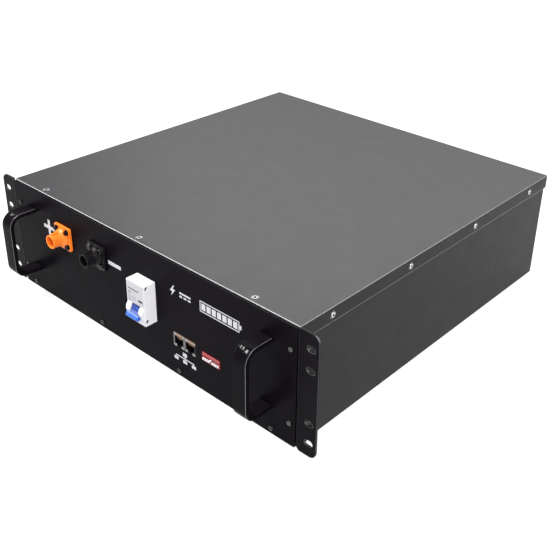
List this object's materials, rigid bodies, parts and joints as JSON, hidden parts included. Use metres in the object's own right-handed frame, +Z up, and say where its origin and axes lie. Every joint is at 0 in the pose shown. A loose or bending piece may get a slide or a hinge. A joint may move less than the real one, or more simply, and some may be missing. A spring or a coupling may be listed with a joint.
{
  "type": "rack battery module",
  "caption": "Rack-mounted lithium battery module, 3 units high: sheet steel chassis with slotted ears, bow handles, power sockets, breaker, network jacks and a DIP switch.",
  "frame": {"origin": "centre of the bounding box's underside, on the face that the module rests on", "axes": "+Z up, +Y to the back of the module, +X to the right seen from the front; the front panel faces -Y"},
  "size_m": [0.4826, 0.4786, 0.1325],
  "materials": {
    "black_paint": "satin black powder coat",
    "cover_paint": "fine-textured black powder coat",
    "gloss_black": "gloss black handle",
    "zinc": "zinc-plated screw",
    "black_steel": "black oxide screw",
    "orange_plastic": "orange moulded plastic",
    "black_plastic": "black moulded plastic",
    "silver_plate": "silver-plated contact",
    "white_plastic": "white moulded plastic",
    "blue_plastic": "blue moulded plastic",
    "beige_plastic": "beige moulded plastic with plated shell",
    "red_plastic": "red moulded plastic",
    "green_board": "green circuit board",
    "cell_film": "blue cell film",
    "copper": "copper bar",
    "galvanised": "galvanised sheet"
  },
  "bodies": {
    "module": {"chassis_tray": "black_paint", "front_panel": "black_paint", "rack_ear_left": "black_paint", "rack_ear_right": "black_paint", "top_cover": "cover_paint", "handle_left": "gloss_black", "handle_right": "gloss_black", "cover_screw_left_1": "zinc", "cover_screw_left_2": "zinc", "cover_screw_left_3": "zinc", "cover_screw_left_4": "zinc", "cover_screw_right_1": "zinc", "cover_screw_right_2": "zinc", "cover_screw_right_3": "zinc", "cover_screw_right_4": "zinc", "cover_screw_front_1": "zinc", "cover_screw_front_2": "zinc", "cover_screw_front_3": "zinc", "handle_screw_left_lower": "zinc", "handle_screw_left_upper": "zinc", "handle_screw_right_lower": "zinc", "handle_screw_right_upper": "zinc", "panel_screw_left_lower": "black_steel", "panel_screw_left_upper": "black_steel", "panel_screw_right_lower": "black_steel", "panel_screw_right_upper": "black_steel", "panel_screw_bottom_1": "black_steel", "panel_screw_bottom_2": "black_steel", "panel_screw_bottom_3": "black_steel", "panel_screw_bottom_4": "black_steel", "positive_socket": "orange_plastic", "negative_socket": "black_plastic", "positive_contact": "silver_plate", "negative_contact": "silver_plate", "breaker_case": "white_plastic", "breaker_bracket": "galvanised", "network_jack_1": "beige_plastic", "network_jack_2": "beige_plastic", "dip_switch_body": "red_plastic", "communication_board": "green_board", "management_board": "green_board", "cell_stack_left": "cell_film", "contact_plate_left": "black_plastic", "stack_clamp_left": "galvanised", "cell_stack_right": "cell_film", "contact_plate_right": "black_plastic", "stack_clamp_right": "galvanised", "positive_lead": "orange_plastic", "negative_lead": "black_plastic", "breaker_link": "copper"},
    "breaker_toggle": {"breaker_toggle": "blue_plastic"},
    "dip_slider_1": {"dip_slider_1": "white_plastic"},
    "dip_slider_2": {"dip_slider_2": "white_plastic"},
    "dip_slider_3": {"dip_slider_3": "white_plastic"},
    "dip_slider_4": {"dip_slider_4": "white_plastic"},
    "dip_slider_5": {"dip_slider_5": "white_plastic"},
    "dip_slider_6": {"dip_slider_6": "white_plastic"},
    "dip_slider_7": {"dip_slider_7": "white_plastic"},
    "dip_slider_8": {"dip_slider_8": "white_plastic"},
    "dip_slider_9": {"dip_slider_9": "white_plastic"}
  },
  "joints": [
    {"name": "breaker_toggle_hinge", "type": "hinge", "parent": "module", "child": "breaker_toggle", "pos_m": [0.0139, -0.21475, 0.0645], "axis": [-1, 0, 0], "range_deg": [0, 50]},
    {"name": "dip_slider_1_slide", "type": "slide", "parent": "module", "child": "dip_slider_1", "axis": [0, 0, 1], "range_m": [0, 0.0018]},
    {"name": "dip_slider_2_slide", "type": "slide", "parent": "module", "child": "dip_slider_2", "axis": [0, 0, 1], "range_m": [0, 0.0018]},
    {"name": "dip_slider_3_slide", "type": "slide", "parent": "module", "child": "dip_slider_3", "axis": [0, 0, 1], "range_m": [0, 0.0018]},
    {"name": "dip_slider_4_slide", "type": "slide", "parent": "module", "child": "dip_slider_4", "axis": [0, 0, 1], "range_m": [0, 0.0018]},
    {"name": "dip_slider_5_slide", "type": "slide", "parent": "module", "child": "dip_slider_5", "axis": [0, 0, 1], "range_m": [-0.0018, 0]},
    {"name": "dip_slider_6_slide", "type": "slide", "parent": "module", "child": "dip_slider_6", "axis": [0, 0, 1], "range_m": [0, 0.0018]},
    {"name": "dip_slider_7_slide", "type": "slide", "parent": "module", "child": "dip_slider_7", "axis": [0, 0, 1], "range_m": [0, 0.0018]},
    {"name": "dip_slider_8_slide", "type": "slide", "parent": "module", "child": "dip_slider_8", "axis": [0, 0, 1], "range_m": [0, 0.0018]},
    {"name": "dip_slider_9_slide", "type": "slide", "parent": "module", "child": "dip_slider_9", "axis": [0, 0, 1], "range_m": [0, 0.0018]}
  ]
}
